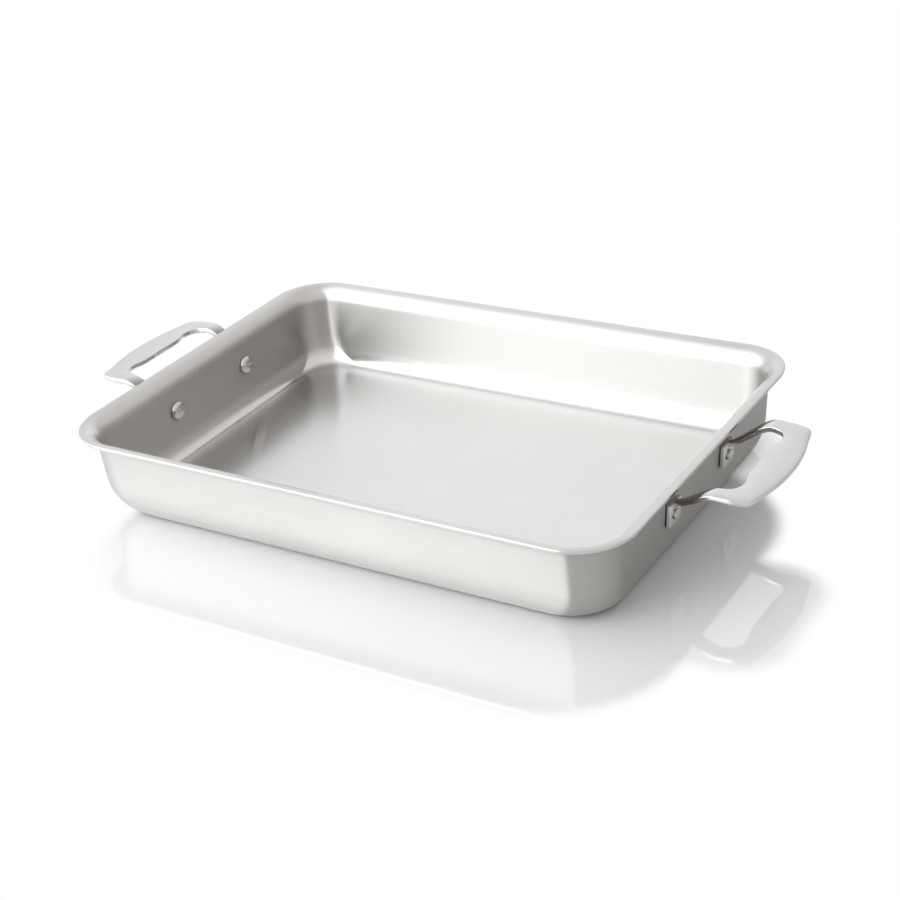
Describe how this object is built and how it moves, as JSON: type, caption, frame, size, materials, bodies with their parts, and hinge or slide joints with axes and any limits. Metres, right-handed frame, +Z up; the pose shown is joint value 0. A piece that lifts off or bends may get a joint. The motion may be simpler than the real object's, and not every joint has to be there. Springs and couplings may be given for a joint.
{
  "type": "roasting pan",
  "caption": "Shallow rectangular roasting pan of brushed stainless steel with a flared rim, rounded corners and riveted loop handles at the ends.",
  "frame": {"origin": "under the middle of the pan's floor, on the surface that the pan stands on", "axes": "+X along the pan's length towards the right handle, +Y across the pan towards the back wall, +Z up"},
  "size_m": [0.4488, 0.2554, 0.0533],
  "materials": {
    "pan_steel": "satin, finely brushed",
    "handle_steel": "polished cast stainless steel",
    "rivet_steel": "polished stainless steel"
  },
  "bodies": {
    "root": {"pan_body": "pan_steel", "handle_right": "handle_steel", "handle_left": "handle_steel", "rivet_right_front": "rivet_steel", "rivet_right_back": "rivet_steel", "rivet_left_front": "rivet_steel", "rivet_left_back": "rivet_steel"}
  },
  "joints": []
}
